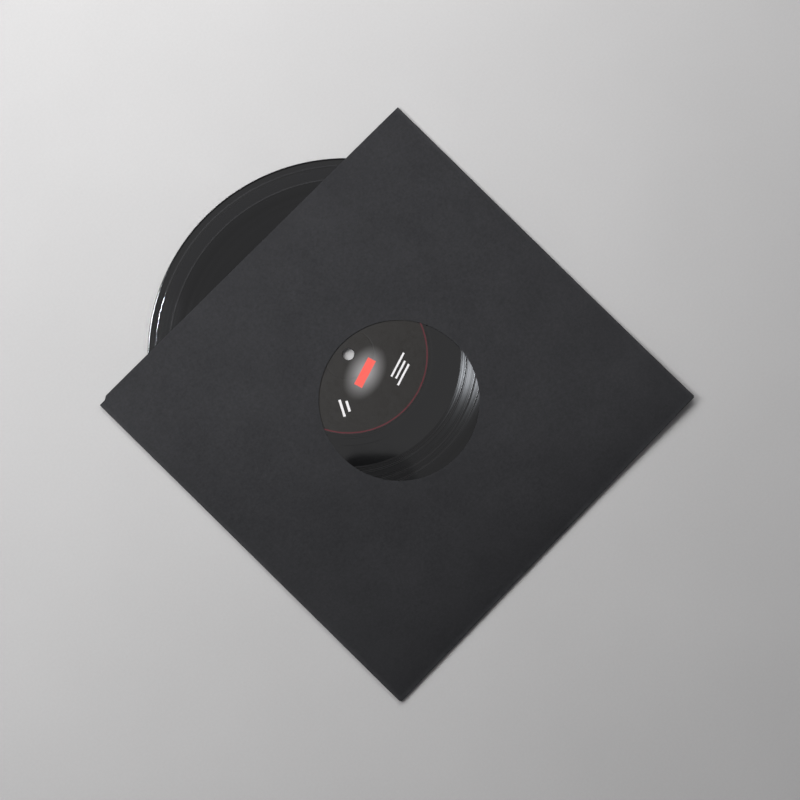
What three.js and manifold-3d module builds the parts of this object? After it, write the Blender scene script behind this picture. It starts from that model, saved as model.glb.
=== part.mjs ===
// A ten-inch record drawn partly out of its black paper sleeve, lying flat.
// Millimetres, +Z up, +Y out of the sleeve's mouth, +X across it. The floor is z = 0.

import * as THREE from 'three';
import { mergeVertices } from 'three/addons/utils/BufferGeometryUtils.js';
import Module from 'manifold-3d';

const wasm = await Module();
wasm.setup();

// Driving dimensions of the disc.
const discDiameter = 250;
const spindleDiameter = 7.24;
const labelDiameter = 101;
const labelPaper = 0.15;
const labelEdgeGap = 0.1;
const labelLandThickness = 2.1;
const labelLandWidth = 1.2;
const landShoulder = 0.9;
const playingThickness = 1.5;
const rimThickness = 1.9;
const rimBeadWidth = 4.4;
const rimBeadSlope = 1.0;
const bandDepth = 0.06;
const bandShoulder = 0.25;
const runOutWidth = 19.5;
const trackGapRadius = 111.6;
const trackGapWidth = 0.9;
const leadInWidth = 1.1;

// Driving dimensions of the sleeve, in the order in which its sheet is folded.
const paper = 0.35;
const foldGap = 0.5;
const sidePlay = 8;
const depthPlay = 13;
const windowDiameter = 101;
const flapWidth = 16;
const flapTaper = 9;
const glueSqueeze = 0.1;
const flapStepRun = 14;
const cornerLift = 3;
const reliefLength = 7;
const reliefDepth = 1.1;
const reliefSlope = 0.8;

// How the disc lies in the sleeve.
const discDrawnOut = 36.4;
const discSideways = -1.8;
const seatGap = 0.1;
const rimPlay = 1.5;

// Facets.
const roundFacets = 72;
const rimFacets = 6;
const bendFacets = 6;
const panelRows = 16;
const flapColumns = 6;
const middleColumns = 12;
const cutOverrun = 5;

// Worked out from the driving dimensions.
const discRadius = discDiameter / 2;
const sleeveWidth = discDiameter + 2 * sidePlay;
const sleeveDepth = discDiameter + depthPlay;
const mouthY = sleeveDepth / 2;
const discY = mouthY + discDrawnOut - discRadius;
const discThickest = Math.max(labelLandThickness, rimThickness, playingThickness);
const pocketHalf = discThickest / 2 + seatGap;
const middleHeight = pocketHalf + 2 * paper;
const endBendRadius = foldGap / 2 + paper;
const sideBendRadius = foldGap / 2 + 1.5 * paper;
const panelEdgeX = sleeveWidth / 2 - sideBendRadius;
const panelEndY = -(sleeveDepth / 2 - endBendRadius);
const panelColumns = middleColumns + 2 * flapColumns;
const centreY = (discY + discRadius - sleeveDepth / 2) / 2;

const blackPaper = new THREE.MeshStandardMaterial({ color: 0x38383a, roughness: 0.85, metalness: 0 });
const blackVinyl = new THREE.MeshStandardMaterial({ color: 0x0c0c0d, roughness: 0.22, metalness: 0 });
const labelStock = new THREE.MeshStandardMaterial({ color: 0x393736, roughness: 0.55, metalness: 0 });

// A closed mesh as a solid that can be joined and cut.
function toSolid(geometry) {
  geometry.deleteAttribute('normal');
  geometry.deleteAttribute('uv');
  const welded = mergeVertices(geometry, 1e-5);
  const vertProperties = new Float32Array(welded.attributes.position.array);
  const triVerts = new Uint32Array(welded.index.array);
  return new wasm.Manifold(new wasm.Mesh({ numProp: 3, vertProperties, triVerts }));
}

function toGeometry(solid) {
  const mesh = solid.getMesh();
  const geometry = new THREE.BufferGeometry();
  geometry.setAttribute('position', new THREE.BufferAttribute(mesh.vertProperties, 3));
  geometry.setIndex(new THREE.BufferAttribute(mesh.triVerts, 1));
  return geometry;
}

function smoothStep(t) {
  const s = Math.min(1, Math.max(0, t));
  return s * s * (3 - 2 * s);
}

// Distance from a point of a panel to the closed edges. It is rounded off where two folds meet.
function foldDistance(x, y) {
  const right = panelEdgeX - x;
  const left = panelEdgeX + x;
  const end = y - panelEndY;
  return 1 / Math.cbrt(1 / right ** 3 + 1 / left ** 3 + 1 / end ** 3);
}

// How far the pocket is opened by the disc: 1 over the disc, 0 along the folds.
function fullness(x, y) {
  const fromDisc = Math.hypot(x - discSideways, y - discY);
  const beyondRim = Math.max(0, fromDisc - discRadius - rimPlay);
  const toFold = foldDistance(x, y);
  const share = toFold / (toFold + beyondRim);
  return 1 - (1 - share) ** 2;
}

// The corner at +X on the closed end curls up a little, from the disc's rim outwards.
function cornerCurl(x, y) {
  const outward = (x - y) / Math.SQRT2;
  const rim = (discSideways - discY) / Math.SQRT2 + discRadius;
  const corner = (sleeveWidth + sleeveDepth) / 2 / Math.SQRT2;
  const along = Math.max(0, (outward - rim) / (corner - rim));
  return cornerLift * along ** 2;
}

// Height of the surface half-way between the two panels.
function middle(x, y) {
  return middleHeight + cornerCurl(x, y);
}

function halfOpening(x, y) {
  return foldGap / 2 + (pocketHalf - foldGap / 2) * fullness(x, y);
}

function frontInside(x, y) {
  return middle(x, y) + halfOpening(x, y);
}

// The back panel sinks to the floor between the two flaps glued under it.
function backInside(x, y) {
  const betweenFlaps = smoothStep((panelEdgeX - flapWidth - Math.abs(x)) / flapStepRun);
  const sink = paper * betweenFlaps * fullness(x, y);
  return middle(x, y) - halfOpening(x, y) - sink;
}

// A flat sheet of cells, its two faces joined round the edge, with each corner put in place by a rule.
function foldSheet(columns, rows, place) {
  const sheet = new THREE.BoxGeometry(1, 1, 1, columns, rows, 1);
  const corners = sheet.attributes.position;
  for (let i = 0; i < corners.count; i += 1) {
    const column = Math.round((corners.getX(i) + 0.5) * columns);
    const row = Math.round((0.5 - corners.getY(i)) * rows);
    const outside = corners.getZ(i) > 0;
    corners.setXYZ(i, ...place(column, row, outside));
  }
  return toSolid(sheet);
}

// Columns stand closer together over the flaps, where the paper curves most.
function columnX(column) {
  const fromLeft = column / flapColumns;
  if (fromLeft <= 1) {
    return -panelEdgeX + flapWidth * fromLeft;
  }
  const fromRight = (panelColumns - column) / flapColumns;
  if (fromRight <= 1) {
    return panelEdgeX - flapWidth * fromRight;
  }
  const inner = panelEdgeX - flapWidth;
  return inner * ((2 * (column - flapColumns)) / middleColumns - 1);
}

function rowY(row) {
  return mouthY + ((panelEndY - mouthY) * row) / panelRows;
}

// Front panel, the fold across the closed end and the back panel, in one run of the sheet.
function twoPanels() {
  const rows = 2 * panelRows + bendFacets;
  return foldSheet(panelColumns, rows, (column, row, outside) => {
    const x = columnX(column);
    if (row <= panelRows) {
      const y = rowY(row);
      return [x, y, frontInside(x, y) + (outside ? paper : 0)];
    }
    if (row >= panelRows + bendFacets) {
      const y = rowY(rows - row);
      return [x, y, backInside(x, y) - (outside ? paper : 0)];
    }
    const turn = ((row - panelRows) * Math.PI) / bendFacets;
    const radius = foldGap / 2 + (outside ? paper : 0);
    const height = middle(x, panelEndY) + radius * Math.cos(turn);
    return [x, panelEndY - radius * Math.sin(turn), height];
  });
}

// One side fold: the sheet turns round the back panel's edge and lies glued under it as a flap.
function sideFlap(side) {
  const columns = bendFacets + flapColumns;
  return foldSheet(columns, panelRows, (column, row, outside) => {
    const step = side > 0 ? column : columns - column;
    const onFlap = Math.max(0, step - bendFacets) / flapColumns;
    const taper = flapTaper * onFlap * (1 - (2 * row) / panelRows);
    const y = rowY(row) - taper;
    const edge = side * panelEdgeX;
    if (step > bendFacets) {
      const x = edge - side * flapWidth * onFlap;
      const height = backInside(x, y) - paper;
      return [x, y, outside ? height - paper : height + glueSqueeze];
    }
    const turn = (step * Math.PI) / bendFacets;
    const squeeze = (glueSqueeze * step) / bendFacets;
    const radius = outside ? sideBendRadius : sideBendRadius - paper - squeeze;
    const height = middle(edge, y) - paper / 2 + radius * Math.cos(turn);
    return [edge + side * radius * Math.sin(turn), y, height];
  });
}

// The round window, punched through both panels at once.
function windowPunch() {
  const height = 2 * middleHeight + 2 * cutOverrun;
  const punch = new THREE.CylinderGeometry(windowDiameter / 2, windowDiameter / 2, height, roundFacets);
  punch.rotateX(Math.PI / 2);
  punch.translate(0, 0, middleHeight);
  return toSolid(punch);
}

// The small relief at the mouth end of the -X fold, where the sheet is cut back.
function mouthRelief() {
  const outerX = -sleeveWidth / 2 - cutOverrun;
  const innerX = -sleeveWidth / 2 + reliefLength;
  const outline = new THREE.Shape();
  outline.moveTo(outerX, mouthY + cutOverrun);
  outline.lineTo(outerX, mouthY - reliefDepth);
  outline.lineTo(innerX - reliefSlope, mouthY - reliefDepth);
  outline.lineTo(innerX, mouthY);
  outline.lineTo(innerX, mouthY + cutOverrun);
  const depth = 2 * middleHeight + 2 * cutOverrun;
  const cutter = new THREE.ExtrudeGeometry(outline, { depth, bevelEnabled: false });
  cutter.translate(0, 0, -cutOverrun);
  return toSolid(cutter);
}

function paperSleeve() {
  let sleeve = twoPanels();
  sleeve = sleeve.add(sideFlap(1));
  sleeve = sleeve.add(sideFlap(-1));
  sleeve = sleeve.subtract(windowPunch());
  sleeve = sleeve.subtract(mouthRelief());
  return toGeometry(sleeve);
}

// A ring profile given by its upper half, outwards, then mirrored below and turned about the axis.
function turnedRing(upperHalf) {
  const lowerHalf = upperHalf.map(([radius, height]) => [radius, -height]).reverse();
  const onMiddle = upperHalf[upperHalf.length - 1][1] === 0;
  const loop = [...upperHalf, ...lowerHalf.slice(onMiddle ? 1 : 0), upperHalf[0]];
  const profile = loop.map(([radius, height]) => new THREE.Vector2(radius, height)).reverse();
  const ring = new THREE.LatheGeometry(profile, roundFacets);
  ring.rotateX(Math.PI / 2);
  return toGeometry(toSolid(ring));
}

// A recorded band: its grooves lie a little below the smooth vinyl on both sides of it.
function band(innerRadius, outerRadius) {
  const level = playingThickness / 2;
  return [
    [innerRadius, level],
    [innerRadius + bandShoulder, level - bandDepth],
    [outerRadius - bandShoulder, level - bandDepth],
    [outerRadius, level],
  ];
}

// The rounded outer edge of the bead, a half ellipse from its top to the middle of its thickness.
function rimCurve() {
  const reach = rimThickness / 2;
  const points = [];
  for (let i = 0; i <= rimFacets; i += 1) {
    const turn = (i * Math.PI) / 2 / rimFacets;
    const height = i === rimFacets ? 0 : reach * Math.cos(turn);
    points.push([discRadius - reach + reach * Math.sin(turn), height]);
  }
  return points;
}

function vinylDisc() {
  const hole = spindleDiameter / 2;
  const recess = labelDiameter / 2 + labelEdgeGap;
  const landTop = labelLandThickness / 2;
  const landEnd = recess + labelLandWidth;
  const playing = playingThickness / 2;
  const bandStart = landEnd + landShoulder + runOutWidth;
  const beadFoot = discRadius - rimBeadWidth - rimBeadSlope;
  return turnedRing([
    [hole, landTop - labelPaper],
    [recess, landTop - labelPaper],
    [recess, landTop],
    [landEnd, landTop],
    [landEnd + landShoulder, playing],
    ...band(bandStart, trackGapRadius - trackGapWidth / 2),
    ...band(trackGapRadius + trackGapWidth / 2, beadFoot - leadInWidth),
    [beadFoot, playing],
    [beadFoot + rimBeadSlope, rimThickness / 2],
    ...rimCurve(),
  ]);
}

// A label lies in its recess, flush with the land round it.
function discLabel() {
  const hole = spindleDiameter / 2;
  return turnedRing([
    [hole, labelPaper / 2],
    [labelDiameter / 2, labelPaper / 2],
  ]);
}

function named(name, geometry, material, x, y, z) {
  const mesh = new THREE.Mesh(geometry, material);
  mesh.name = name;
  mesh.position.set(x, y, z);
  return mesh;
}

const labelHeight = labelLandThickness / 2 - labelPaper / 2;

const disc = new THREE.Group();
disc.position.set(discSideways, discY, middleHeight);
disc.add(named('vinyl_disc', vinylDisc(), blackVinyl, 0, 0, 0));
disc.add(named('label_side_a', discLabel(), labelStock, 0, 0, labelHeight));
disc.add(named('label_side_b', discLabel(), labelStock, 0, 0, -labelHeight));

const sleevedRecord = new THREE.Group();
sleevedRecord.position.set(0, -centreY, 0);
sleevedRecord.add(named('paper_sleeve', paperSleeve(), blackPaper, 0, 0, 0));
sleevedRecord.add(disc);

export default sleevedRecord;
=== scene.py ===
"""A ten-inch record drawn partly out of its black paper sleeve, dressed for a studio picture."""

import math

import bmesh
import bpy
from bpy.props import FloatProperty, FloatVectorProperty, IntProperty, PointerProperty
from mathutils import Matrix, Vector, noise


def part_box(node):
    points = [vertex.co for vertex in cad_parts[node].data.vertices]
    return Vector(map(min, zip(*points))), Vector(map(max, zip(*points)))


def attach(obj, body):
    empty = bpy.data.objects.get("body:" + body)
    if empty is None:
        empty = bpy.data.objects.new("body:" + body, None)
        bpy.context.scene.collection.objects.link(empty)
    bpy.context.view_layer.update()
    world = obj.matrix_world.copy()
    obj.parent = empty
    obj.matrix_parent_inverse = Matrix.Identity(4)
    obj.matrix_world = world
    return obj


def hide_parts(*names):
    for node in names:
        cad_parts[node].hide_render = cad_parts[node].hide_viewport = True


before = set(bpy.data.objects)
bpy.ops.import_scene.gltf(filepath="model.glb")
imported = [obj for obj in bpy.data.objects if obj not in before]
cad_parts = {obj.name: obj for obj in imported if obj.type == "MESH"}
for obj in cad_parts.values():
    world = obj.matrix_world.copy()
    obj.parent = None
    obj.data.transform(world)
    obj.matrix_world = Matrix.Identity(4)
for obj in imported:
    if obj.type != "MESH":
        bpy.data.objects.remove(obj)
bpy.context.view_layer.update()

bl_info = {
    "name": "Sleeved record",
    "version": (1, 0, 0),
    "blender": (4, 5, 0),
    "location": "View3D > Sidebar > Record",
    "description": "Models a vinyl record, its labels and its folded paper sleeve, with a small studio",
    "category": "Add Mesh",
}

MM = 0.001
# How near a line a point counts as on it, how thin a sliver is, and how near two points are welded.
SNAP = 0.01 * MM
SLIVER = 0.004 * MM
WELD = 0.001 * MM
# Distance from the ends of a straight run to the points that keep it flat.
BRACE = 0.12 * MM
# How far a cutter stands out beyond the sheet, and its height.
CUTTER_REACH = 5 * MM
CUTTER_HEIGHT = 40 * MM
# Width of the slope into a recorded band, and the bevel round a label.
BAND_SHOULDER = 0.2 * MM
LABEL_BEVEL_WIDTH, LABEL_BEVEL_HEIGHT = 0.1 * MM, 0.05 * MM
# Corners sharper than this stay crisp, in the sheet and in the turned pieces.
SHEET_ANGLE, TURNED_ANGLE = math.radians(32), math.radians(40)

# Facets of the folds, of the glued flaps, of the window, of the disc's slopes and of its rim.
BEND_STEPS = 10
FLAP_STEPS = 7
WINDOW_STEPS = 256
SHOULDER_STEPS = 4
RIM_STEPS = 10

# Radii of the smooth gaps between the tracks, in millimetres.
TRACK_GAPS = (74.3, 80.8, 85.0, 111.7)
# Radius and half width of the rings beside the first track and on the bead that are painted paler, a painted
# highlight, in millimetres.
PAINTED_HIGHLIGHT_RINGS = ((111.7, 0.35), (120.3, 0.4))
# Radii between which the tracks grow quiet, in millimetres.
QUIET_FROM, QUIET_TO = 85, 92
# Painted shade: the sheet darkens to this tone between two sums of x and y, towards its corner at -X and -Y.
PAINTED_SHADE_FROM, PAINTED_SHADE_TO, PAINTED_SHADE_TONE = -20 * MM, -140 * MM, 0.80
# Painted shade at the closed end: how much tone it loses at -X and at +X, and how late the loss sets in.
END_SHADE_LOW, END_SHADE_HIGH, END_SHADE_POWER = -0.30, -0.20, 1.5

# Each softbox's place and side, and the floor's side, in metres.
SIDE_SOFTBOX = ((-0.40, 0.70, 0.85), 0.7)
GLINT_SOFTBOX = ((-0.34, 0.72, 0.85), 0.2)
FILL_SOFTBOX = ((0.36, 0.50, 0.56), 0.5)
GLINT_COLOUR = (0.90, 0.94, 1.0)
FLOOR_SIDE = 6
# The floor lies a hair under the part, so that no two faces share a plane.
FLOOR_DROP = 0.02 * MM
# Distances from the middle of the floor at which it starts to take the room's tone and has it.
FLOOR_FADE = (0.40, 0.85)
# Heights of a mirrored direction at which the ceiling ends and the walls begin.
CEILING_EDGE, WALL_EDGE = 0.93, 0.6
SENSOR_WIDTH = 36
# The camera's body: its middle, its height over the lens, its sides and its corners' radius.
BODY_X, BODY_Y, BODY_ABOVE = -15 * MM, -75 * MM, 30 * MM
BODY_SIDES, BODY_CORNER = (100 * MM, 130 * MM), 30 * MM

SLEEVE_LOW, SLEEVE_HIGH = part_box("paper_sleeve")
DISC_LOW, DISC_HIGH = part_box("vinyl_disc")
LABEL_LOW, LABEL_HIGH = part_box("label_side_a")
SLEEVE_CENTRE = (SLEEVE_LOW + SLEEVE_HIGH) / 2
DISC_CENTRE = (DISC_LOW + DISC_HIGH) / 2
DISC_RADIUS = (DISC_HIGH.x - DISC_LOW.x) / 2
LAND_TOP = (DISC_HIGH.z - DISC_LOW.z) / 2
LABEL_RADIUS = (LABEL_HIGH.x - LABEL_LOW.x) / 2


def linear(hex_colour):
    """An sRGB hex colour as the opaque linear colour that shaders take."""
    parts = [int(hex_colour[i:i + 2], 16) / 255 for i in (0, 2, 4)]
    return tuple(c / 12.92 if c <= 0.04045 else ((c + 0.055) / 1.055) ** 2.4 for c in parts) + (1.0,)


def length(name, description, millimetres):
    """A length that a user can change."""
    return FloatProperty(
        name=name, description=description, default=millimetres * MM, unit="LENGTH", precision=5
    )


def colour(name, description, hex_colour):
    """A colour that a user can change."""
    return FloatVectorProperty(
        name=name, description=description, default=linear(hex_colour), subtype="COLOR", size=4, min=0, max=1
    )


def angle(name, description, degrees):
    """An angle that a user can change."""
    return FloatProperty(name=name, description=description, default=math.radians(degrees), subtype="ANGLE")


def power(name, description, watts):
    """A lamp's power that a user can change."""
    return FloatProperty(name=name, description=description, default=watts, unit="POWER")


def level(name, description, share):
    """A brightness that a user can change."""
    return FloatProperty(name=name, description=description, default=share, min=0, max=1, subtype="FACTOR")


class SleeveSettings(bpy.types.PropertyGroup):
    """Sizes and colours of the folded paper sleeve."""

    paper: length("Paper", "Thickness of the sheet", 0.35)
    glue_gap: length("Glue line", "Gap between a glued flap and the panel over it", 0.02)
    fold_gap: length("Fold gap", "Clear height inside a fold", 0.5)
    window: length("Window", "Diameter of the round window in both panels", 101.0)
    flap_width: length("Flap width", "Width of each glued side flap", 16.0)
    flap_taper: length("Flap taper", "How far a flap's ends slope back towards its inner edge", 9.0)
    flap_step_run: length("Flap step run", "Width over which the back panel steps down beside a flap", 14.0)
    seat_gap: length("Seat gap", "Clear height between the disc and the panel it lies against", 0.1)
    rim_play: length("Rim play", "How far the panels stay level beyond the disc's rim", 1.5)
    corner_lift: length("Corner lift", "How far the loose corner of the closed end curls up", 3.0)
    relief_length: length("Relief length", "Length of the small relief at the mouth end of one fold", 7.0)
    relief_depth: length("Relief depth", "Depth of that relief", 1.5)
    relief_slope: length("Relief slope", "How far the relief's inner end slopes back over that depth", 2.6)
    ripple: length("Ripple", "Height of the paper's slow ripples over the front panel", 0.14)
    ripple_size: length("Ripple size", "Width of one ripple", 55.0)
    cell: length("Mesh cell", "Size of the panels' mesh cells", 2.5)
    # Reach of the painted shade at the sheet's closed end.
    end_shade: length("End shade", "How far from the closed end the sheet starts to darken", 50.0)
    wear_reach: length("Fold wear", "How far from a fold the paper is rubbed paler", 2.2)
    paper_colour: colour("Paper colour", "Dyed paper in flat light", "2f2f31")
    edge_colour: colour("Cut edge colour", "Torn fibres along a die-cut edge", "3e3e40")


class DiscSettings(bpy.types.PropertyGroup):
    """Sizes and colours of the pressed disc and its labels."""

    spindle: length("Spindle hole", "Diameter of the centre hole", 7.24)
    hole_chamfer: length("Hole chamfer", "Small chamfer round the centre hole", 0.3)
    label_paper: length("Label paper", "Thickness of a label", 0.15)
    label_gap: length("Label gap", "Gap round a label in its recess", 0.3)
    land_width: length("Land width", "Width of the raised land round a label", 1.2)
    land_shoulder: length("Land shoulder", "Width of the slope from the land down to the run-out", 0.9)
    playing: length("Playing thickness", "Thickness of the disc between its grooves", 1.5)
    rim: length("Rim thickness", "Thickness of the raised bead at the edge", 1.9)
    bead: length("Bead width", "Width of the raised bead", 5.0)
    bead_slope: length("Bead slope", "Width of the slope up to the bead", 0.8)
    run_out: length("Run-out width", "Width of the smooth ring round the label's land", 17.7)
    lead_in: length("Lead-in width", "Width of the smooth ring inside the bead", 0.5)
    band_depth: length("Band depth", "Depth of a recorded band below the smooth vinyl", 0.05)
    track_gap: length("Track gap", "Width of the smooth ring between two tracks", 0.6)
    spiral_width: length("Spiral width", "Width of a single wide groove, drawn wide enough to show", 0.5)
    lead_out: length("Lead-out place", "Distance from the land to the lead-out groove", 4.6)
    lead_out_depth: length("Lead-out depth", "Depth of the lead-out groove", 0.035)
    edge_mark: length("Edge mark", "Distance from the bead's foot to the ring pressed into it", 1.1)
    edge_mark_depth: length("Edge mark depth", "Depth of that ring", 0.058)
    # The outer band that takes the rim's vinyl, whose colour is painted darker as a painted dark reflection.
    dark_rim_width: length("Trimmed edge", "Width of the outer edge whose skin the trimming knife takes", 1.3)
    press_ring: length("Press ring", "Radius of the ring that the press leaves in a label", 16.0)
    press_ring_width: length("Press ring width", "Width of that ring", 1.2)
    press_ring_depth: length("Press ring depth", "Depth of that ring", 0.06)
    turns: IntProperty(name="Turned steps", description="Faces round each turned piece", default=288, min=48)
    vinyl_colour: colour("Vinyl colour", "Carbon black vinyl", "0b0b0c")
    label_colour: colour("Label ground", "Printed ground of the labels", "2c2a28")
    accent_colour: colour("Label accent", "Coral ink", "f9665c")
    white_colour: colour("Label white", "Unprinted label paper", "e9e7e8")
    rim_line_colour: colour("Label rim line", "Dull red line round the label", "5c2a30")
    rim_line_inset: length("Rim line inset", "Distance from the label's edge to that line's inner side", 1.5)
    rim_line_width: length("Rim line width", "Width of that line", 0.8)


class StageSettings(bpy.types.PropertyGroup):
    """Floor, lamps and camera."""

    floor_colour: colour("Floor colour", "Pale backdrop paper", "bdbcbc")
    room_colour: colour("Room colour", "Pale room that shows in the vinyl", "dcdcde")
    camera_height: length("Camera height", "Height of the lens above the floor", 999.8)
    camera_x: length("Camera X", "Place of the lens across the mouth", -98.3)
    camera_y: length("Camera Y", "Place of the lens along the sleeve", -33.6)
    tilt_x: angle("Tilt X", "First turn of the camera", 4.641)
    tilt_y: angle("Tilt Y", "Second turn of the camera", -3.342)
    roll: angle("Roll", "Third turn of the camera", -45.584)
    lens: FloatProperty(
        name="Lens", description="Focal length on a 36 mm wide sensor", default=72.0, unit="CAMERA"
    )
    key_power: power("Key power", "Power of the side softbox", 10.8)
    fill_power: power("Fill power", "Power of the far softbox", 4.35)
    glint_power: power("Glint power", "Extra power that only glossy surfaces see", 49.0)
    room_level: level("Room level", "Light that the room itself gives", 0.21)
    ceiling_level: level("Ceiling level", "Brightness of the ceiling seen in the vinyl", 0.42)
    wall_level: level("Wall level", "Brightness of the walls seen in the vinyl", 0.5)


def add_node(tree, kind, inputs=None, **settings):
    """Adds a node with its settings, and gives each named input its value or its link."""
    node = tree.nodes.new(kind)
    for name, value in settings.items():
        setattr(node, name, value)
    for name, value in (inputs or {}).items():
        if isinstance(value, bpy.types.NodeSocket):
            tree.links.new(value, node.inputs[name])
        else:
            node.inputs[name].default_value = value
    return node


def new_material(name):
    """An empty node material, with its tree."""
    material = bpy.data.materials.new(name)
    material.use_nodes = True
    material.node_tree.nodes.clear()
    return material, material.node_tree


def finish_material(tree, shader):
    """Joins the shader to the material's output."""
    add_node(tree, "ShaderNodeOutputMaterial", {"Surface": shader.outputs["BSDF"]})


def maths(tree, operation, first, second=0.0, third=0.0):
    """One step of arithmetic on values or sockets."""
    node = add_node(tree, "ShaderNodeMath", {0: first, 1: second, 2: third}, operation=operation)
    return node.outputs[0]


def place_on(tree, centre):
    """Object coordinates measured from a point of the piece."""
    coordinates = add_node(tree, "ShaderNodeTexCoord")
    shifted = add_node(tree, "ShaderNodeMapping", {
        "Vector": coordinates.outputs["Object"], "Location": -Vector(centre),
    })
    return shifted.outputs["Vector"]


def grain(tree, where, size, detail=2.0, roughness=0.5):
    """Noise whose blotches are about that many metres wide."""
    return add_node(
        tree, "ShaderNodeTexNoise",
        {"Vector": where, "Scale": 1 / size, "Detail": detail, "Roughness": roughness},
    ).outputs["Fac"]


def spread(tree, value, low, high):
    """A noise value from its usual middle range to a wanted range."""
    node = add_node(
        tree, "ShaderNodeMapRange",
        {"Value": value, "From Min": 0.3, "From Max": 0.7, "To Min": low, "To Max": high},
    )
    return node.outputs["Result"]


def shade_of(tree, base, factor):
    """A colour made lighter or darker by a factor."""
    node = add_node(tree, "ShaderNodeVectorMath", {0: base[:3], "Scale": factor}, operation="SCALE")
    return node.outputs["Vector"]


def blended(tree, amount, first, second):
    """Two colours mixed by an amount. The node's sockets for colours are 6, 7 and, going out, 2."""
    node = add_node(tree, "ShaderNodeMix", data_type="RGBA")
    for socket, value in ((0, amount), (6, first), (7, second)):
        if isinstance(value, bpy.types.NodeSocket):
            tree.links.new(value, node.inputs[socket])
        else:
            node.inputs[socket].default_value = value
    return node.outputs[2]


def painted_closed_end_shade(tree, where, reach):
    """The sheet darkens before its closed end, and slowly towards its corner at -X and -Y."""
    # Painted shade: this tone darkens the sheet before its closed end and towards its corner at -X and -Y.
    parts = add_node(tree, "ShaderNodeSeparateXYZ", {"Vector": where})
    corner = add_node(tree, "ShaderNodeMapRange", {
        "Value": maths(tree, "ADD", parts.outputs["X"], parts.outputs["Y"]),
        "From Min": PAINTED_SHADE_FROM, "From Max": PAINTED_SHADE_TO, "To Min": 1.0, "To Max": PAINTED_SHADE_TONE,
    }, interpolation_type="SMOOTHSTEP")
    near_end = add_node(tree, "ShaderNodeMapRange", {
        "Value": parts.outputs["Y"],
        "From Min": SLEEVE_LOW.y, "From Max": SLEEVE_LOW.y + reach, "To Min": 1.0, "To Max": 0.0,
    })
    strength = add_node(tree, "ShaderNodeMapRange", {
        "Value": parts.outputs["X"],
        "From Min": SLEEVE_LOW.x, "From Max": SLEEVE_HIGH.x,
        "To Min": END_SHADE_LOW, "To Max": END_SHADE_HIGH,
    })
    steep = maths(tree, "POWER", near_end.outputs["Result"], END_SHADE_POWER)
    end = maths(tree, "MULTIPLY_ADD", steep, strength.outputs["Result"], 1.0)
    return maths(tree, "MULTIPLY", end, corner.outputs["Result"])


def uncoated_black_paper(settings):
    """Pulp dyed black through and through, lightly calendered and left uncoated.

    The eye gets a soft matte charcoal with slow cloudy patches where the pulp lies thicker, a fine felt of
    fibres, and folds that are rubbed a little paler. Painted shade darkens it before its closed end and
    towards its corner at -X and -Y.
    """
    material, tree = new_material("uncoated_black_paper")
    where = place_on(tree, (0, 0, 0))
    clouds = spread(tree, grain(tree, where, 30 * MM, 3.0, 0.6), 0.91, 1.09)
    # Fibres are 0.03 mm wide. They are drawn as grain of 1.4 mm, which is as fine as a picture shows.
    felt = spread(tree, grain(tree, where, 1.4 * MM, 3.0, 0.65), 0.88, 1.12)
    flecks = spread(tree, grain(tree, where, 3.2 * MM, 2.0, 0.6), 0.95, 1.05)
    tone = maths(tree, "MULTIPLY", maths(tree, "MULTIPLY", clouds, felt), flecks)
    # From here the tone, and the dyed colour made from it, also carry painted shade: darker before the closed
    # end and towards the corner at -X and -Y.
    tone = maths(tree, "MULTIPLY", tone, painted_closed_end_shade(tree, where, settings.end_shade))
    wear = add_node(tree, "ShaderNodeAttribute", attribute_name="fold_wear").outputs["Fac"]
    patchy = spread(tree, grain(tree, where, 5 * MM, 2.0, 0.5), 0.3, 1.0)
    rubbed = maths(tree, "MULTIPLY", maths(tree, "MULTIPLY", wear, patchy), 0.55)
    dyed = shade_of(tree, settings.paper_colour, tone)
    ink = blended(tree, rubbed, dyed, tuple(settings.edge_colour))
    height = maths(tree, "ADD", grain(tree, where, 0.7 * MM, 3.0, 0.6), grain(tree, where, 9 * MM, 2.0, 0.5))
    bump = add_node(tree, "ShaderNodeBump", {"Height": height, "Strength": 0.22, "Distance": 0.06 * MM})
    shader = add_node(tree, "ShaderNodeBsdfPrincipled", {
        "Base Color": ink,
        "Roughness": spread(tree, grain(tree, where, 3 * MM), 0.80, 0.92),
        "IOR": 1.5,
        "Specular IOR Level": 0.08,
        "Normal": bump.outputs["Normal"],
    })
    finish_material(tree, shader)
    return material


def die_cut_paper_edge(settings):
    """The same paper where a die has sheared it: short torn fibres that catch a little more light."""
    material, tree = new_material("die_cut_paper_edge")
    where = place_on(tree, (0, 0, 0))
    fibres = spread(tree, grain(tree, where, 0.5 * MM, 3.0, 0.7), 0.75, 1.25)
    shader = add_node(tree, "ShaderNodeBsdfPrincipled", {
        "Base Color": shade_of(tree, settings.edge_colour, fibres),
        "Roughness": 0.92,
        "IOR": 1.5,
        "Specular IOR Level": 0.2,
    })
    finish_material(tree, shader)
    return material


def ring_radius(tree):
    """Distance from the disc's axis, in metres."""
    where = place_on(tree, DISC_CENTRE)
    flat = add_node(tree, "ShaderNodeVectorMath", {0: where, 1: (1, 1, 0)}, operation="MULTIPLY")
    measured = add_node(tree, "ShaderNodeVectorMath", {0: flat.outputs["Vector"]}, operation="LENGTH")
    return measured.outputs["Value"]


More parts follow.
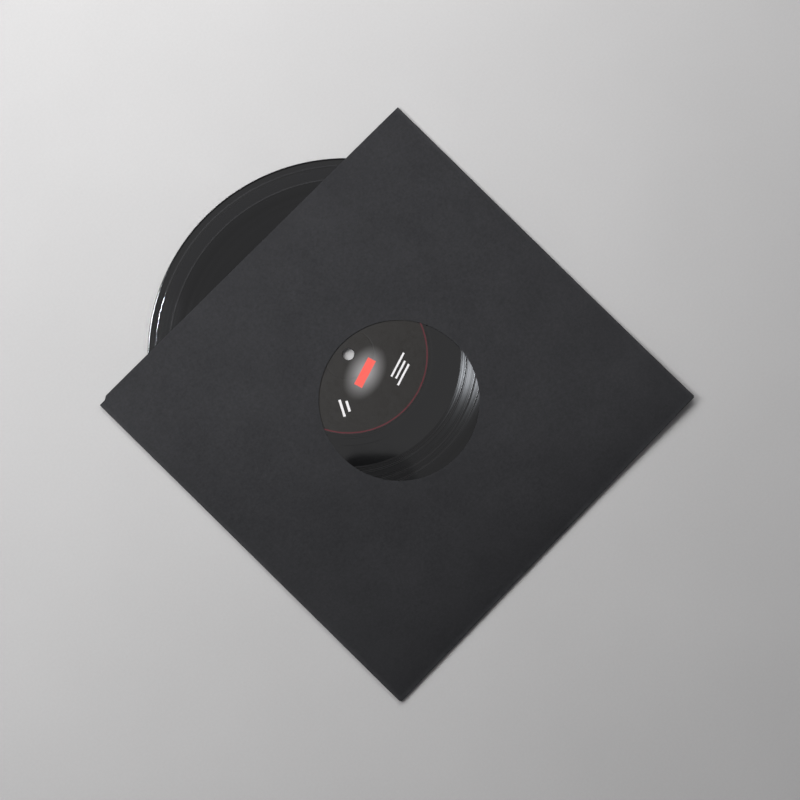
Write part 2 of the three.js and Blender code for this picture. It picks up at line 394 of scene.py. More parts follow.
def knife_trimmed_vinyl(settings):
    """The same PVC where a knife trimmed the warm pressing and took its polished skin.

    The eye gets a thin line round the disc, blacker than the faces, with a narrow glint. Its colour is
    painted darker: a painted dark line that stands in for the dark room the rim mirrors.
    """
    material, tree = new_material("knife_trimmed_vinyl")
    # Painted dark: the rim's colour is a third to two thirds of the vinyl's.
    tone = spread(tree, grain(tree, place_on(tree, DISC_CENTRE), 3 * MM), 0.3, 0.7)
    shader = add_node(tree, "ShaderNodeBsdfPrincipled", {
        "Base Color": shade_of(tree, settings.vinyl_colour, tone),
        "Roughness": 0.15,
        "IOR": 1.54,
        "Specular IOR Level": 0.30,
    })
    finish_material(tree, shader)
    return material


def ring_grain(tree, size):
    """Noise that changes only from ring to ring."""
    scaled = maths(tree, "MULTIPLY", ring_radius(tree), 1 / size)
    return add_node(tree, "ShaderNodeTexNoise", {"W": scaled, "Scale": 1.0, "Detail": 2.0},
                    noise_dimensions="1D").outputs["Fac"]


def smooth_pressed_vinyl(settings):
    """Carbon black PVC pressed against a polished stamper: the run-out, the bead and the gaps between tracks.

    The eye gets a deep black with a clear reflection of the room that is a little softer in slow patches.
    Two thin rings are painted paler, a painted highlight.
    """
    material, tree = new_material("smooth_pressed_vinyl")
    where = place_on(tree, DISC_CENTRE)
    softness = spread(tree, grain(tree, where, 14 * MM, 4.0, 0.7), 0.03, 0.07)
    height = grain(tree, where, 24 * MM, 1.0)
    bump = add_node(tree, "ShaderNodeBump", {"Height": height, "Strength": 0.15, "Distance": 0.05 * MM})
    radius = ring_radius(tree)
    # Painted highlight: two thin rings get a paler base colour.
    painted_ring = maths(tree, "ADD", *(maths(tree, "COMPARE", radius, middle * MM, half * MM)
                                for middle, half in PAINTED_HIGHLIGHT_RINGS))
    shader = add_node(tree, "ShaderNodeBsdfPrincipled", {
        "Base Color": shade_of(tree, settings.vinyl_colour, maths(tree, "MULTIPLY_ADD", painted_ring, 4.0, 1.0)),
        "Roughness": softness,
        "IOR": 1.54,
        "Specular IOR Level": 0.8,
        "Coat Weight": 0.8,
        "Coat Roughness": 0.04,
        "Normal": bump.outputs["Normal"],
    })
    finish_material(tree, shader)
    return material


def grooved_vinyl(settings):
    """The same vinyl cut by the playing groove.

    Grooves 0.1 mm apart are far too fine to show one by one. Their walls are an anisotropic gloss that
    draws each lamp out into a streak along the radius. The flat lands between them are a clear coat over it
    that mirrors the room. Louder and softer turns give fine rings, drawn about 1 mm wide.
    """
    material, tree = new_material("grooved_vinyl")
    turns = ring_grain(tree, 0.9 * MM)
    passages = ring_grain(tree, 4 * MM)
    bump = add_node(tree, "ShaderNodeBump", {"Height": turns, "Strength": 0.12, "Distance": 0.03 * MM})
    around = add_node(tree, "ShaderNodeTangent", direction_type="RADIAL", axis="Z")
    loud = maths(tree, "ADD", maths(tree, "MULTIPLY", turns, 0.5), maths(tree, "MULTIPLY", passages, 0.5))
    # The outer tracks are quiet: their grooves hardly swing, so they keep no wide streak.
    quiet = add_node(tree, "ShaderNodeMapRange", {
        "Value": ring_radius(tree), "From Min": QUIET_FROM * MM, "From Max": QUIET_TO * MM,
        "To Min": 1.0, "To Max": 0.2,
    }).outputs["Result"]
    # The first track, beyond the last gap, is painted paler: a painted sheen on top of the vinyl's grey.
    painted_sheen_band = maths(tree, "GREATER_THAN", ring_radius(tree), TRACK_GAPS[-1] * MM)
    grey = maths(tree, "ADD", spread(tree, passages, 0.8, 1.3), maths(tree, "MULTIPLY", painted_sheen_band, 1.8))
    shader = add_node(tree, "ShaderNodeBsdfPrincipled", {
        "Base Color": shade_of(tree, settings.vinyl_colour, grey),
        "Roughness": maths(tree, "MULTIPLY", spread(tree, loud, 0.18, 0.40), quiet),
        "IOR": 1.54,
        "Specular IOR Level": 0.45,
        "Anisotropic": 1.0,
        "Anisotropic Rotation": 0.25,
        "Tangent": around.outputs["Tangent"],
        "Coat Weight": 0.85,
        "Coat Roughness": 0.05,
        "Coat IOR": 1.5,
        "Normal": bump.outputs["Normal"],
    })
    finish_material(tree, shader)
    return material


def bar_mask(tree, where, centre, turn, size):
    """1 inside a printed bar and 0 outside it, with its centre, turn and size given in millimetres."""
    moved = add_node(tree, "ShaderNodeMapping", {
        "Vector": where,
        "Location": (centre[0] * MM, centre[1] * MM, 0),
        "Rotation": (0, 0, math.radians(turn)),
    }, vector_type="TEXTURE")
    parts = add_node(tree, "ShaderNodeSeparateXYZ", {"Vector": moved.outputs["Vector"]})
    across = maths(tree, "LESS_THAN", maths(tree, "ABSOLUTE", parts.outputs["X"]), size[0] * MM / 2)
    along = maths(tree, "LESS_THAN", maths(tree, "ABSOLUTE", parts.outputs["Y"]), size[1] * MM / 2)
    return maths(tree, "MULTIPLY", across, along)


def glow_mask(tree, where, centre, turn, reach):
    """A soft halftone glow round a point, 1 at its middle and 0 at its reach in millimetres."""
    moved = add_node(tree, "ShaderNodeMapping", {
        "Vector": where,
        "Location": (centre[0] * MM, centre[1] * MM, 0),
        "Rotation": (0, 0, math.radians(turn)),
        "Scale": (reach[0] * MM, reach[1] * MM, 1),
    }, vector_type="TEXTURE")
    flat = add_node(tree, "ShaderNodeVectorMath", {0: moved.outputs["Vector"], 1: (1, 1, 0)},
                    operation="MULTIPLY")
    far = add_node(tree, "ShaderNodeVectorMath", {0: flat.outputs["Vector"]}, operation="LENGTH")
    fade = maths(tree, "SUBTRACT", 1.0, far.outputs["Value"])
    return maths(tree, "POWER", maths(tree, "MAXIMUM", fade, 0.0), 1.3)


# Printed bars on the labels: centre, turn and size, in millimetres and degrees from the disc's centre.
ACCENT_BARS = (((-1, -15.5), 17, (19, 5.5)),)
WHITE_BARS = (
    ((17, -26.5), 17, (17, 1.3)),
    ((16, -30), 17, (12.5, 1.3)),
    ((15, -33.5), 17, (15, 1.3)),
    ((-27, -21), 62, (11, 1.6)),
    ((-23.5, -22.8), 62, (7, 1.6)),
)
GLOW = ((-1, -15.5), 17, (19, 12.5))


def printed_label(settings):
    """Offset-printed label paper, baked dry and moulded into the disc.

    The eye gets an almost black satin ground, flat coral and white bars, and a thin dull red line at the rim.
    """
    material, tree = new_material("printed_label")
    where = place_on(tree, DISC_CENTRE)
    fibres = spread(tree, grain(tree, where, 1.0 * MM, 3.0, 0.6), 0.93, 1.07)
    print_colour = shade_of(tree, settings.label_colour, fibres)
    glow = maths(tree, "MULTIPLY", glow_mask(tree, where, *GLOW), 0.5)
    print_colour = blended(tree, glow, print_colour, tuple(settings.white_colour))
    for bar in WHITE_BARS:
        print_colour = blended(tree, bar_mask(tree, where, *bar), print_colour, tuple(settings.white_colour))
    for bar in ACCENT_BARS:
        print_colour = blended(tree, bar_mask(tree, where, *bar), print_colour, tuple(settings.accent_colour))
    rim_start = LABEL_RADIUS - settings.rim_line_inset
    rim_end = rim_start + settings.rim_line_width
    radius = ring_radius(tree)
    on_rim = maths(tree, "MULTIPLY", maths(tree, "GREATER_THAN", radius, rim_start),
                   maths(tree, "LESS_THAN", radius, rim_end))
    print_colour = blended(tree, on_rim, print_colour, tuple(settings.rim_line_colour))
    bump = add_node(tree, "ShaderNodeBump", {
        "Height": grain(tree, where, 0.8 * MM, 3.0), "Strength": 0.2, "Distance": 0.03 * MM,
    })
    shader = add_node(tree, "ShaderNodeBsdfPrincipled", {
        "Base Color": print_colour,
        "Roughness": spread(tree, grain(tree, where, 2 * MM), 0.42, 0.55),
        "IOR": 1.48,
        "Specular IOR Level": 0.14,
        "Normal": bump.outputs["Normal"],
    })
    finish_material(tree, shader)
    return material


def pale_backdrop_paper(settings):
    """A pale roll of studio backdrop paper: matte, with a faint uneven tone.

    Beyond the lamps' reach it shows as pale as the room, so that its far end isn't dark.
    """
    material, tree = new_material("pale_backdrop_paper")
    where = place_on(tree, (0, 0, 0))
    tone = maths(tree, "MULTIPLY", spread(tree, grain(tree, where, 120 * MM, 3.0), 0.98, 1.02),
                 spread(tree, grain(tree, where, 1.5 * MM, 2.0), 0.985, 1.015))
    shader = add_node(tree, "ShaderNodeBsdfPrincipled", {
        "Base Color": shade_of(tree, settings.floor_colour, tone),
        "Roughness": 0.9,
        "Specular IOR Level": 0.2,
    })
    away = add_node(tree, "ShaderNodeVectorMath", {0: where}, operation="LENGTH").outputs["Value"]
    far = add_node(tree, "ShaderNodeMapRange", {
        "Value": away, "From Min": FLOOR_FADE[0], "From Max": FLOOR_FADE[1], "To Min": 0.0, "To Max": 1.0,
    }, interpolation_type="SMOOTHSTEP").outputs["Result"]
    path = add_node(tree, "ShaderNodeLightPath")
    seen = maths(tree, "MAXIMUM", path.outputs["Is Camera Ray"], path.outputs["Is Glossy Ray"])
    pale = add_node(tree, "ShaderNodeEmission", {"Color": tuple(settings.room_colour), "Strength": 1.0})
    mixed = add_node(tree, "ShaderNodeMixShader", {
        0: maths(tree, "MULTIPLY", far, seen), 1: shader.outputs["BSDF"], 2: pale.outputs["Emission"],
    })
    add_node(tree, "ShaderNodeOutputMaterial", {"Surface": mixed.outputs["Shader"]})
    return material


def start_clean():
    """Leaves edit mode and deselects everything, so that only what is added next is worked on."""
    if bpy.context.object and bpy.context.object.mode != "OBJECT":
        bpy.ops.object.mode_set(mode="OBJECT")
    bpy.ops.object.select_all(action="DESELECT")


def edit_all():
    """Enters edit mode with everything selected."""
    bpy.ops.object.mode_set(mode="EDIT")
    bpy.ops.mesh.select_all(action="SELECT")


def pick(test, kind="verts"):
    """In edit mode, selects only the vertices or edges that pass a test on their place."""
    mesh = bmesh.from_edit_mesh(bpy.context.object.data)
    bpy.ops.mesh.select_mode(type="VERT" if kind == "verts" else "EDGE")
    bpy.ops.mesh.select_all(action="DESELECT")
    mesh.select_mode = {"VERT"} if kind == "verts" else {"EDGE"}
    for element in getattr(mesh, kind):
        if test(element):
            element.select = True
    mesh.select_flush_mode()
    bmesh.update_edit_mesh(bpy.context.object.data)


def apply_modifier(piece, kind, **settings):
    """Adds a modifier with its settings and applies it."""
    modifier = piece.modifiers.new(kind.title(), kind)
    for name, value in settings.items():
        setattr(modifier, name, value)
    bpy.context.view_layer.objects.active = piece
    if "FINISHED" not in bpy.ops.object.modifier_apply(modifier=modifier.name):
        raise RuntimeError(f"{kind} could not be applied to {piece.name}")


def cut_away(piece, cutter):
    """Cuts a solid out of a piece and deletes the cutter."""
    before = (len(piece.data.vertices), len(piece.data.polygons))
    apply_modifier(piece, "BOOLEAN", object=cutter, operation="DIFFERENCE", solver="EXACT")
    if (len(piece.data.vertices), len(piece.data.polygons)) in (before, (0, 0)):
        raise RuntimeError(f"{cutter.name} did not cut {piece.name}")
    bpy.data.objects.remove(cutter)


def clear_slivers(piece):
    """Merges points and dissolves slivers left by a cut, and leaves the piece selected."""
    start_clean()
    piece.select_set(True)
    bpy.context.view_layer.objects.active = piece
    edit_all()
    bpy.ops.mesh.remove_doubles(threshold=SLIVER)
    bpy.ops.mesh.dissolve_degenerate(threshold=SLIVER)
    bpy.ops.object.mode_set(mode="OBJECT")


def hand_over(piece, node):
    """The finished piece rides with the part and stands for its solid."""
    if not piece.data.polygons:
        raise RuntimeError(f"{piece.name} has no faces")
    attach(piece, "root")
    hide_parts(node)


class SleevePlan:
    """Where the sleeve's folded sheet lies, worked out from the frame and the settings."""

    def __init__(self, settings):
        self.s = settings
        self.centre = SLEEVE_CENTRE
        half_width = (SLEEVE_HIGH.x - SLEEVE_LOW.x) / 2
        half_depth = (SLEEVE_HIGH.y - SLEEVE_LOW.y) / 2
        # A side fold also takes in the back panel, so its radius is half a sheet more than the end fold's.
        self.end_radius = settings.fold_gap / 2 + settings.paper
        self.side_radius = settings.fold_gap / 2 + 1.5 * settings.paper
        self.edge_x = half_width - self.side_radius
        self.mouth_y = half_depth
        self.end_y = -(half_depth - self.end_radius)
        self.panel_length = self.mouth_y - self.end_y
        self.disc_x = DISC_CENTRE.x - self.centre.x
        self.disc_y = DISC_CENTRE.y - self.centre.y
        self.pocket_half = LAND_TOP + settings.seat_gap
        self.corner = (half_width + half_depth) / math.sqrt(2)

    def fullness(self, x, y):
        """1 over the disc and 0 along the folds."""
        beyond = math.hypot(x - self.disc_x, y - self.disc_y) - DISC_RADIUS - self.s.rim_play
        gaps = (self.edge_x - x, self.edge_x + x, y - self.end_y)
        if min(gaps) < SNAP:
            return 0.0
        to_fold = sum(1 / gap ** 3 for gap in gaps) ** (-1 / 3)
        share = to_fold / (to_fold + max(0.0, beyond))
        return 1 - (1 - share) ** 2

    def middle(self, x, y):
        """Height half-way between the two panels, with the loose corner curled up."""
        rim = (self.disc_x - self.disc_y) / math.sqrt(2) + DISC_RADIUS
        along = max(0.0, ((x - y) / math.sqrt(2) - rim) / (self.corner - rim))
        return DISC_CENTRE.z + self.s.corner_lift * along ** 2

    def ripple(self, x, y):
        """Slow ripples of the front panel, which only ever stand up from the disc."""
        where = Vector((x, y, 0)) / self.s.ripple_size
        return self.s.ripple * (0.5 + 0.5 * noise.noise(where))

    def settled(self, x, y, z):
        """Height of a point of the folded sheet once the disc is inside."""
        flat_x = max(-self.edge_x, min(self.edge_x, x))
        flat_y = max(self.end_y, y)
        full = self.fullness(flat_x, flat_y)
        opened = (self.pocket_half - self.s.fold_gap / 2) * full
        level = self.middle(flat_x, flat_y) + z
        if z > 0:
            return level + opened + self.ripple(x, y) * min(1.0, 4 * full)
        inner = self.edge_x - self.s.flap_width
        run = max(0.0, min(1.0, (inner - abs(x)) / self.s.flap_step_run))
        sink = self.s.paper * full * run * run * (3 - 2 * run)
        return level - opened - sink


def flat_front_panel(plan):
    """The front panel as a flat grid, at the height it has inside the folds."""
    cells = (round(2 * plan.edge_x / plan.s.cell), round(plan.panel_length / plan.s.cell))
    bpy.ops.mesh.primitive_grid_add(x_subdivisions=cells[0], y_subdivisions=cells[1], size=1)
    piece = bpy.context.object
    edit_all()
    bpy.ops.transform.resize(value=(2 * plan.edge_x, plan.panel_length, 1))
    bpy.ops.transform.translate(value=(0, (plan.mouth_y + plan.end_y) / 2, plan.end_radius))
    return piece, cells


def fold_back_panel(plan, rows):
    """The sheet turns round the closed end and runs back to the mouth."""
    pick(lambda v: abs(v.co.y - plan.end_y) < SNAP)
    bpy.ops.mesh.spin(steps=BEND_STEPS, angle=-math.pi, center=(0, plan.end_y, 0), axis=(1, 0, 0))
    bpy.ops.mesh.extrude_region_move(TRANSFORM_OT_translate={"value": (0, plan.panel_length, 0)})
    pick(lambda e: abs(e.verts[0].co.y - e.verts[1].co.y) > plan.panel_length / 2, "edges")
    bpy.ops.mesh.subdivide(number_cuts=rows - 1)


def fold_side_flap(plan, side):
    """The sheet turns round a side of the back panel and lies under it."""
    edge = side * plan.edge_x
    pick(lambda v: abs(v.co.x - edge) < SNAP and v.co.z > plan.end_radius - SNAP)
    centre = (edge, 0, plan.end_radius - plan.side_radius)
    bpy.ops.mesh.spin(steps=BEND_STEPS, angle=-side * math.pi, center=centre, axis=(0, 1, 0))
    bpy.ops.mesh.extrude_region_move(TRANSFORM_OT_translate={"value": (-side * plan.s.flap_width, 0, 0)})
    under = -plan.end_radius - plan.s.paper / 2
    pick(lambda e: abs(e.verts[0].co.x - e.verts[1].co.x) > plan.s.flap_width / 2
         and max(v.co.z for v in e.verts) < under, "edges")
    bpy.ops.mesh.subdivide(number_cuts=FLAP_STEPS - 1)


def face_outwards():
    """Turns every face of the folded sheet outwards, as the front panel's faces lie."""
    bpy.ops.mesh.select_all(action="SELECT")
    bpy.ops.mesh.normals_make_consistent(inside=False)
    mesh = bmesh.from_edit_mesh(bpy.context.object.data)
    top = max(mesh.faces, key=lambda face: face.calc_center_median().z)
    if top.normal.z < 0:
        bpy.ops.mesh.flip_normals()


def settle_sheet(plan, piece):
    """Tapers the flaps, then lets the folded sheet swell over the disc and moves it to its place."""
    under = -plan.end_radius - plan.s.paper / 2
    half = plan.panel_length / 2
    for vertex in piece.data.vertices:
        x, y, z = vertex.co
        if z < under and abs(x) < plan.edge_x + SNAP:
            inward = (plan.edge_x - abs(x)) / plan.s.flap_width
            y -= plan.s.flap_taper * inward * (y - plan.end_y - half) / half
        height = plan.settled(x, y, z)
        vertex.co = (x + plan.centre.x, y + plan.centre.y, height)


def window_cutter(plan, edge_material):
    """A round punch through both panels."""
    bpy.ops.mesh.primitive_cylinder_add(
        vertices=WINDOW_STEPS, radius=plan.s.window / 2, depth=CUTTER_HEIGHT,
        location=(plan.centre.x, plan.centre.y, 0),
    )
    cutter = bpy.context.object
    cutter.data.materials.append(edge_material)
    return cutter


def relief_cutter(plan, edge_material):
    """A block with one sloped end, at the mouth end of the fold at -X."""
    low_x = SLEEVE_LOW.x - CUTTER_REACH
    high_x = SLEEVE_LOW.x + plan.s.relief_length
    low_y = SLEEVE_HIGH.y - plan.s.relief_depth
    high_y = SLEEVE_HIGH.y + CUTTER_REACH
    slope_beyond = plan.s.relief_slope * CUTTER_REACH / plan.s.relief_depth
    bpy.ops.mesh.primitive_cube_add(size=1, location=((low_x + high_x) / 2, (low_y + high_y) / 2, 0))
    bpy.ops.object.mode_set(mode="EDIT")
    bpy.ops.transform.resize(value=(high_x - low_x, high_y - low_y, CUTTER_HEIGHT))
    pick(lambda v: v.co.x > 0 and v.co.y < 0)
    bpy.ops.transform.translate(value=(-plan.s.relief_slope, 0, 0))
    pick(lambda v: v.co.x > 0 and v.co.y > 0)
    bpy.ops.transform.translate(value=(slope_beyond, 0, 0))
    bpy.ops.object.mode_set(mode="OBJECT")
    cutter = bpy.context.object
    cutter.data.materials.append(edge_material)
    return cutter


def mark_fold_wear(plan, piece):
    """Stores how much each point is rubbed: 1 on a fold, fading to 0 at the wear's reach."""
    values = []
    for vertex in piece.data.vertices:
        x = vertex.co.x - plan.centre.x
        y = vertex.co.y - plan.centre.y
        inside = min(plan.edge_x - abs(x), y - plan.end_y)
        values.append(max(0.0, min(1.0, 1 - inside / plan.s.wear_reach)) ** 2)
    wear = piece.data.attributes.new("fold_wear", "FLOAT", "POINT")
    wear.data.foreach_set("value", values)


class RECORD_OT_paper_sleeve(bpy.types.Operator):
    """Model the folded and glued paper sleeve round the disc"""

    bl_idname = "record.paper_sleeve"
    bl_label = "Paper sleeve"

    def execute(self, context):
        start_clean()
        plan = SleevePlan(context.scene.record_sleeve)
        piece, cells = flat_front_panel(plan)
        fold_back_panel(plan, cells[1])
        fold_side_flap(plan, 1)
        fold_side_flap(plan, -1)
        face_outwards()
        bpy.ops.object.mode_set(mode="OBJECT")
        piece.name = "folded_paper_sleeve"
        settle_sheet(plan, piece)
        cut_edge = die_cut_paper_edge(plan.s)
        piece.data.materials.append(uncoated_black_paper(plan.s))
        piece.data.materials.append(cut_edge)
        # Grown inwards from the sheet's outer side. Its rim takes the second material, the cut edge.
        thickness = plan.s.paper - plan.s.glue_gap
        apply_modifier(piece, "SOLIDIFY", thickness=thickness, offset=-1, use_even_offset=False,
                       material_offset_rim=1)
        cut_away(piece, window_cutter(plan, cut_edge))
        cut_away(piece, relief_cutter(plan, cut_edge))
        clear_slivers(piece)
        bpy.ops.object.shade_smooth_by_angle(angle=SHEET_ANGLE)
        mark_fold_wear(plan, piece)
        hand_over(piece, "paper_sleeve")
        return {"FINISHED"}


def draw_profile(points):
    """Draws a closed profile as by pen: a point is extruded from corner to corner, out to the disc's side."""
    start_clean()
    bpy.ops.mesh.primitive_plane_add(size=MM)
    edit_all()
    bpy.ops.mesh.merge(type="CENTER")
    here = Vector((0, 0, 0))
    for number, (radius, height) in enumerate(points + points[:1]):
        there = DISC_CENTRE + Vector((radius, 0, height))
        if number == 0:
            bpy.ops.transform.translate(value=there - here)
        else:
            bpy.ops.mesh.extrude_region_move(TRANSFORM_OT_translate={"value": there - here})
        here = there


def braced(points, reach):
    """Adds a point close to each end of a long straight run, so that the run stays flat when it is shaded."""
    braced_points = []
    for start, end in zip(points, points[1:] + points[:1]):
        run = math.dist(start, end)
        braced_points.append(start)
        if run > 4 * reach:
            for share in (reach / run, 1 - reach / run):
                braced_points.append(tuple(a + (b - a) * share for a, b in zip(start, end)))
    return braced_points


def turn_profile(points, steps, name):
    """Spins a profile about the disc's axis into a closed ring."""
    draw_profile(braced(points, BRACE))
    bpy.ops.mesh.select_all(action="SELECT")
    bpy.ops.mesh.remove_doubles(threshold=WELD)
    bpy.ops.mesh.spin(steps=steps, angle=2 * math.pi, center=DISC_CENTRE, axis=(0, 0, 1))
    bpy.ops.mesh.select_all(action="SELECT")
    bpy.ops.mesh.remove_doubles(threshold=WELD)
    bpy.ops.mesh.normals_make_consistent(inside=False)
    bpy.ops.object.mode_set(mode="OBJECT")
    piece = bpy.context.object
    piece.name = name
    bpy.ops.object.shade_smooth_by_angle(angle=TURNED_ANGLE)
    apply_modifier(piece, "WEIGHTED_NORMAL", keep_sharp=True, weight=90)
    return piece


def both_sides(upper_half):
    """A profile's upper half, outwards to its point at half height, then its mirror image, inwards."""
    lower_half = [(radius, -height) for radius, height in reversed(upper_half)]
    return upper_half + lower_half[1:]


def recorded_bands(s):
    """The bands between the track gaps, from the run-out to the lead-in."""
    inner = LABEL_RADIUS + s.label_gap + s.land_width + s.land_shoulder + s.run_out
    outer = DISC_RADIUS - s.bead - s.bead_slope - s.lead_in
    edges = [inner]
    for gap in TRACK_GAPS:
        edges += [gap * MM - s.track_gap / 2, gap * MM + s.track_gap / 2]
    edges.append(outer)
    return list(zip(edges[0::2], edges[1::2]))


def band_profile(s, band):
    """A band's two shoulders and its level floor."""
    level = s.playing / 2
    shoulder = min(BAND_SHOULDER, (band[1] - band[0]) / 4)
    return [
        (band[0], level),
        (band[0] + shoulder, level - s.band_depth),
        (band[1] - shoulder, level - s.band_depth),
        (band[1], level),
    ]


def single_groove(s, radius, level, depth):
    """One wide groove, with a rounded floor, in smooth vinyl of that level."""
    half = s.spiral_width / 2
    return [
        (radius - half, level),
        (radius - half / 2, level - 0.8 * depth),
        (radius, level - depth),
        (radius + half / 2, level - 0.8 * depth),
        (radius + half, level),
    ]


def slope(start, end, steps):
    """A slope from one point to another, rounded off at its top and its foot."""
    points = []
    for step in range(steps + 1):
        t = step / steps
        eased = t * t * (3 - 2 * t)
        points.append((start[0] + (end[0] - start[0]) * t, start[1] + (end[1] - start[1]) * eased))
    return points


def disc_profile(s):
    """Half of the disc's section, from the hole to the middle of the rim."""
    hole = s.spindle / 2
    recess = LABEL_RADIUS + s.label_gap
    floor = LAND_TOP - s.label_paper
    level = s.playing / 2
    land_end = recess + s.land_width
    foot = land_end + s.land_shoulder
    bead_foot = DISC_RADIUS - s.bead - s.bead_slope
    reach = s.rim / 2
    points = [(hole, floor - s.hole_chamfer), (hole + s.hole_chamfer, floor)]
    points += [(recess, floor), (recess, LAND_TOP)]
    points += slope((land_end, LAND_TOP), (foot, level), SHOULDER_STEPS)
    points += single_groove(s, foot + s.lead_out, level, s.lead_out_depth)
    for band in recorded_bands(s):
        points += band_profile(s, band)
    points += slope((bead_foot, level), (bead_foot + s.bead_slope, reach), SHOULDER_STEPS)
    points += single_groove(s, bead_foot + s.edge_mark, reach, s.edge_mark_depth)
    points.append((DISC_RADIUS - s.dark_rim_width, reach))
    for step in range(RIM_STEPS + 1):
        turn = step * math.pi / 2 / RIM_STEPS
        points.append((DISC_RADIUS - reach + reach * math.sin(turn), reach * math.cos(turn)))
    return points


# Places of the grooved vinyl and of the rim's vinyl, painted darker, in the disc's list of materials. The
# smooth vinyl is first.
GROOVED, DARK_RIM = 1, 2


class RECORD_OT_vinyl_disc(bpy.types.Operator):
    """Turn the pressed vinyl disc from its profile"""

    bl_idname = "record.vinyl_disc"
    bl_label = "Vinyl disc"

    def execute(self, context):
        s = context.scene.record_disc
        piece = turn_profile(both_sides(disc_profile(s)), s.turns, "pressed_vinyl_disc")
        for skin in (smooth_pressed_vinyl, grooved_vinyl, knife_trimmed_vinyl):
            piece.data.materials.append(skin(s))
        bands = recorded_bands(s)
        trimmed = DISC_RADIUS - s.dark_rim_width
        for face in piece.data.polygons:
            radius = (face.center - DISC_CENTRE).xy.length
            if radius > trimmed:
                face.material_index = DARK_RIM
            elif any(inner < radius < outer for inner, outer in bands):
                face.material_index = GROOVED
        hand_over(piece, "vinyl_disc")
        return {"FINISHED"}


def label_profile(s, side):
    """A label's section, with the ring that the press leaves in its outer face. side is 1 above, -1 below."""
    floor = LAND_TOP - s.label_paper
    hole = s.spindle / 2 + s.hole_chamfer
    ring = s.press_ring
    ring_floor = LAND_TOP - s.press_ring_depth
    half = s.press_ring_width / 2
    outer_face = [(hole, LAND_TOP), (ring - half, LAND_TOP)]
    outer_face += slope((ring - half, LAND_TOP), (ring, ring_floor), SHOULDER_STEPS)[1:]
    outer_face += slope((ring, ring_floor), (ring + half, LAND_TOP), SHOULDER_STEPS)[1:]
    outer_face += [(LABEL_RADIUS - LABEL_BEVEL_WIDTH, LAND_TOP)]
    outer_face += [(LABEL_RADIUS, LAND_TOP - LABEL_BEVEL_HEIGHT)]
    section = outer_face + [(LABEL_RADIUS, floor), (hole, floor)]
    return [(radius, side * height) for radius, height in section]


class RECORD_OT_disc_labels(bpy.types.Operator):
    """Turn the two labels and print them"""

    bl_idname = "record.disc_labels"
    bl_label = "Disc labels"

    def execute(self, context):
        s = context.scene.record_disc
        ink = printed_label(s)
        for side, name, node in ((1, "upper_label", "label_side_a"), (-1, "lower_label", "label_side_b")):
            piece = turn_profile(label_profile(s, side), s.turns, name)
            piece.data.materials.append(ink)
            hand_over(piece, node)
        return {"FINISHED"}


def add_floor(settings):
    """A wide pale floor."""
    bpy.ops.mesh.primitive_plane_add(size=FLOOR_SIDE, location=(0, 0, -FLOOR_DROP))
    floor = bpy.context.object
    floor.name = "backdrop_floor"
    floor.data.materials.append(pale_backdrop_paper(settings))


def add_softbox(name, place, side, power):
    """A square softbox that faces the middle of the object."""
    bpy.ops.object.light_add(type="AREA", location=place)
    lamp = bpy.context.object
    lamp.name = name
    lamp.data.shape = "SQUARE"
    lamp.data.size = side
    lamp.data.energy = power
    lamp.rotation_euler = (-Vector(place)).to_track_quat("-Z", "Y").to_euler()
    return lamp


def add_camera_back(settings):
    """The dark camera body behind its lens: it is seen only as a dark patch in the vinyl."""
    place = (BODY_X, BODY_Y, settings.camera_height + BODY_ABOVE)
    bpy.ops.mesh.primitive_plane_add(size=1, location=place, rotation=(0, 0, settings.roll))
    card = bpy.context.object
    card.name = "camera_back"
    edit_all()
    bpy.ops.transform.resize(value=(*BODY_SIDES, 1), orient_type="LOCAL")
    bpy.ops.mesh.bevel(offset=BODY_CORNER, segments=6, affect="VERTICES")
    bpy.ops.object.mode_set(mode="OBJECT")
    material, tree = new_material("black_camera_body")
    finish_material(tree, add_node(tree, "ShaderNodeBsdfPrincipled", {
        "Base Color": linear("0a0a0a"), "Roughness": 0.8,
    }))
    card.data.materials.append(material)
    card.visible_camera = False


def light_room(settings):
    """An even pale room. It lights softly, is pale to the camera, and shows dimmer in the vinyl."""
    world = bpy.data.worlds.new("pale_room")
    bpy.context.scene.world = world
    world.use_nodes = True
    tree = world.node_tree
    tree.nodes.clear()
    path = add_node(tree, "ShaderNodeLightPath")
    direction = add_node(tree, "ShaderNodeTexCoord")
    parts = add_node(tree, "ShaderNodeSeparateXYZ", {"Vector": direction.outputs["Generated"]})
    walls = add_node(tree, "ShaderNodeMapRange", {
        "Value": parts.outputs["Z"], "From Min": CEILING_EDGE, "From Max": WALL_EDGE,
        "To Min": settings.ceiling_level, "To Max": settings.wall_level,
    })
    mirrored = add_node(tree, "ShaderNodeMix", {
        "Factor": path.outputs["Is Glossy Ray"], "A": settings.room_level, "B": walls.outputs["Result"],
    })
    seen = add_node(tree, "ShaderNodeMix", {
        "Factor": path.outputs["Is Camera Ray"], "A": mirrored.outputs["Result"], "B": 1.0,
    })
    room = add_node(tree, "ShaderNodeBackground", {
        "Color": tuple(settings.room_colour), "Strength": seen.outputs["Result"],
    })
    add_node(tree, "ShaderNodeOutputWorld", {"Surface": room.outputs["Background"]})


def add_camera(settings):
    """The camera hangs over the sleeve, a little off its middle, so that the mouth faces up and left."""
    place = (settings.camera_x, settings.camera_y, settings.camera_height)
    bpy.ops.object.camera_add(location=place, rotation=(settings.tilt_x, settings.tilt_y, settings.roll))
    camera = bpy.context.object
    camera.name = "overhead_camera"
    camera.data.sensor_width = SENSOR_WIDTH
    camera.data.lens = settings.lens
    bpy.context.scene.camera = camera


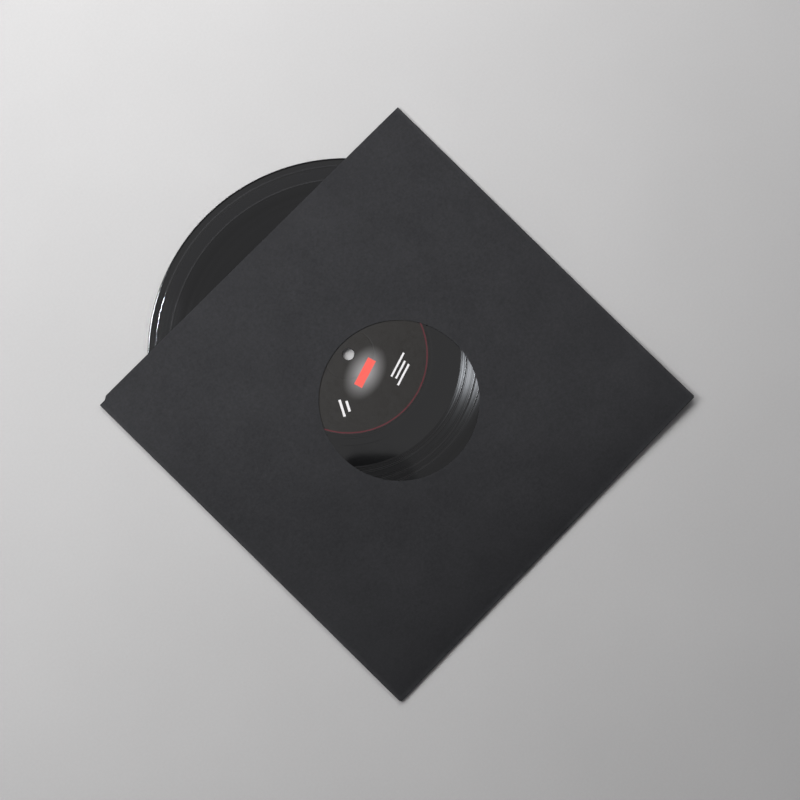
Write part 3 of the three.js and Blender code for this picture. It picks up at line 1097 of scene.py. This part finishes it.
class RECORD_OT_stage(bpy.types.Operator):
    """Lay the floor, hang the lamps and place the camera"""

    bl_idname = "record.stage"
    bl_label = "Stage"

    def execute(self, context):
        start_clean()
        settings = context.scene.record_stage
        add_floor(settings)
        key = add_softbox("side_softbox", *SIDE_SOFTBOX, settings.key_power)
        key.visible_glossy = False
        glint = add_softbox("glint_softbox", *GLINT_SOFTBOX, settings.glint_power)
        glint.data.color = GLINT_COLOUR
        glint.visible_diffuse = False
        fill = add_softbox("fill_softbox", *FILL_SOFTBOX, settings.fill_power)
        fill.visible_glossy = False
        add_camera_back(settings)
        light_room(settings)
        add_camera(settings)
        context.scene.view_settings.view_transform = "Standard"
        return {"FINISHED"}


class RECORD_PT_sidebar(bpy.types.Panel):
    """Lists the pieces in the order in which they are made"""

    bl_idname = "RECORD_PT_sidebar"
    bl_label = "Sleeved record"
    bl_space_type = "VIEW_3D"
    bl_region_type = "UI"
    bl_category = "Record"

    def draw(self, context):
        for operator in MAKERS:
            self.layout.operator(operator.bl_idname)
        for group in (context.scene.record_sleeve, context.scene.record_disc, context.scene.record_stage):
            box = self.layout.box()
            for name in group.bl_rna.properties.keys():
                if name not in ("rna_type", "name"):
                    box.prop(group, name)


MAKERS = (RECORD_OT_vinyl_disc, RECORD_OT_disc_labels, RECORD_OT_paper_sleeve, RECORD_OT_stage)
CLASSES = (SleeveSettings, DiscSettings, StageSettings) + MAKERS + (RECORD_PT_sidebar,)


def register():
    for cls in CLASSES:
        bpy.utils.register_class(cls)
    bpy.types.Scene.record_sleeve = PointerProperty(type=SleeveSettings)
    bpy.types.Scene.record_disc = PointerProperty(type=DiscSettings)
    bpy.types.Scene.record_stage = PointerProperty(type=StageSettings)


def unregister():
    del bpy.types.Scene.record_stage
    del bpy.types.Scene.record_disc
    del bpy.types.Scene.record_sleeve
    for cls in reversed(CLASSES):
        bpy.utils.unregister_class(cls)


def main():
    """Registers the add-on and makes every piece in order."""
    register()
    bpy.ops.record.vinyl_disc()
    bpy.ops.record.disc_labels()
    bpy.ops.record.paper_sleeve()
    bpy.ops.record.stage()


if __name__ == "__main__":
    main()
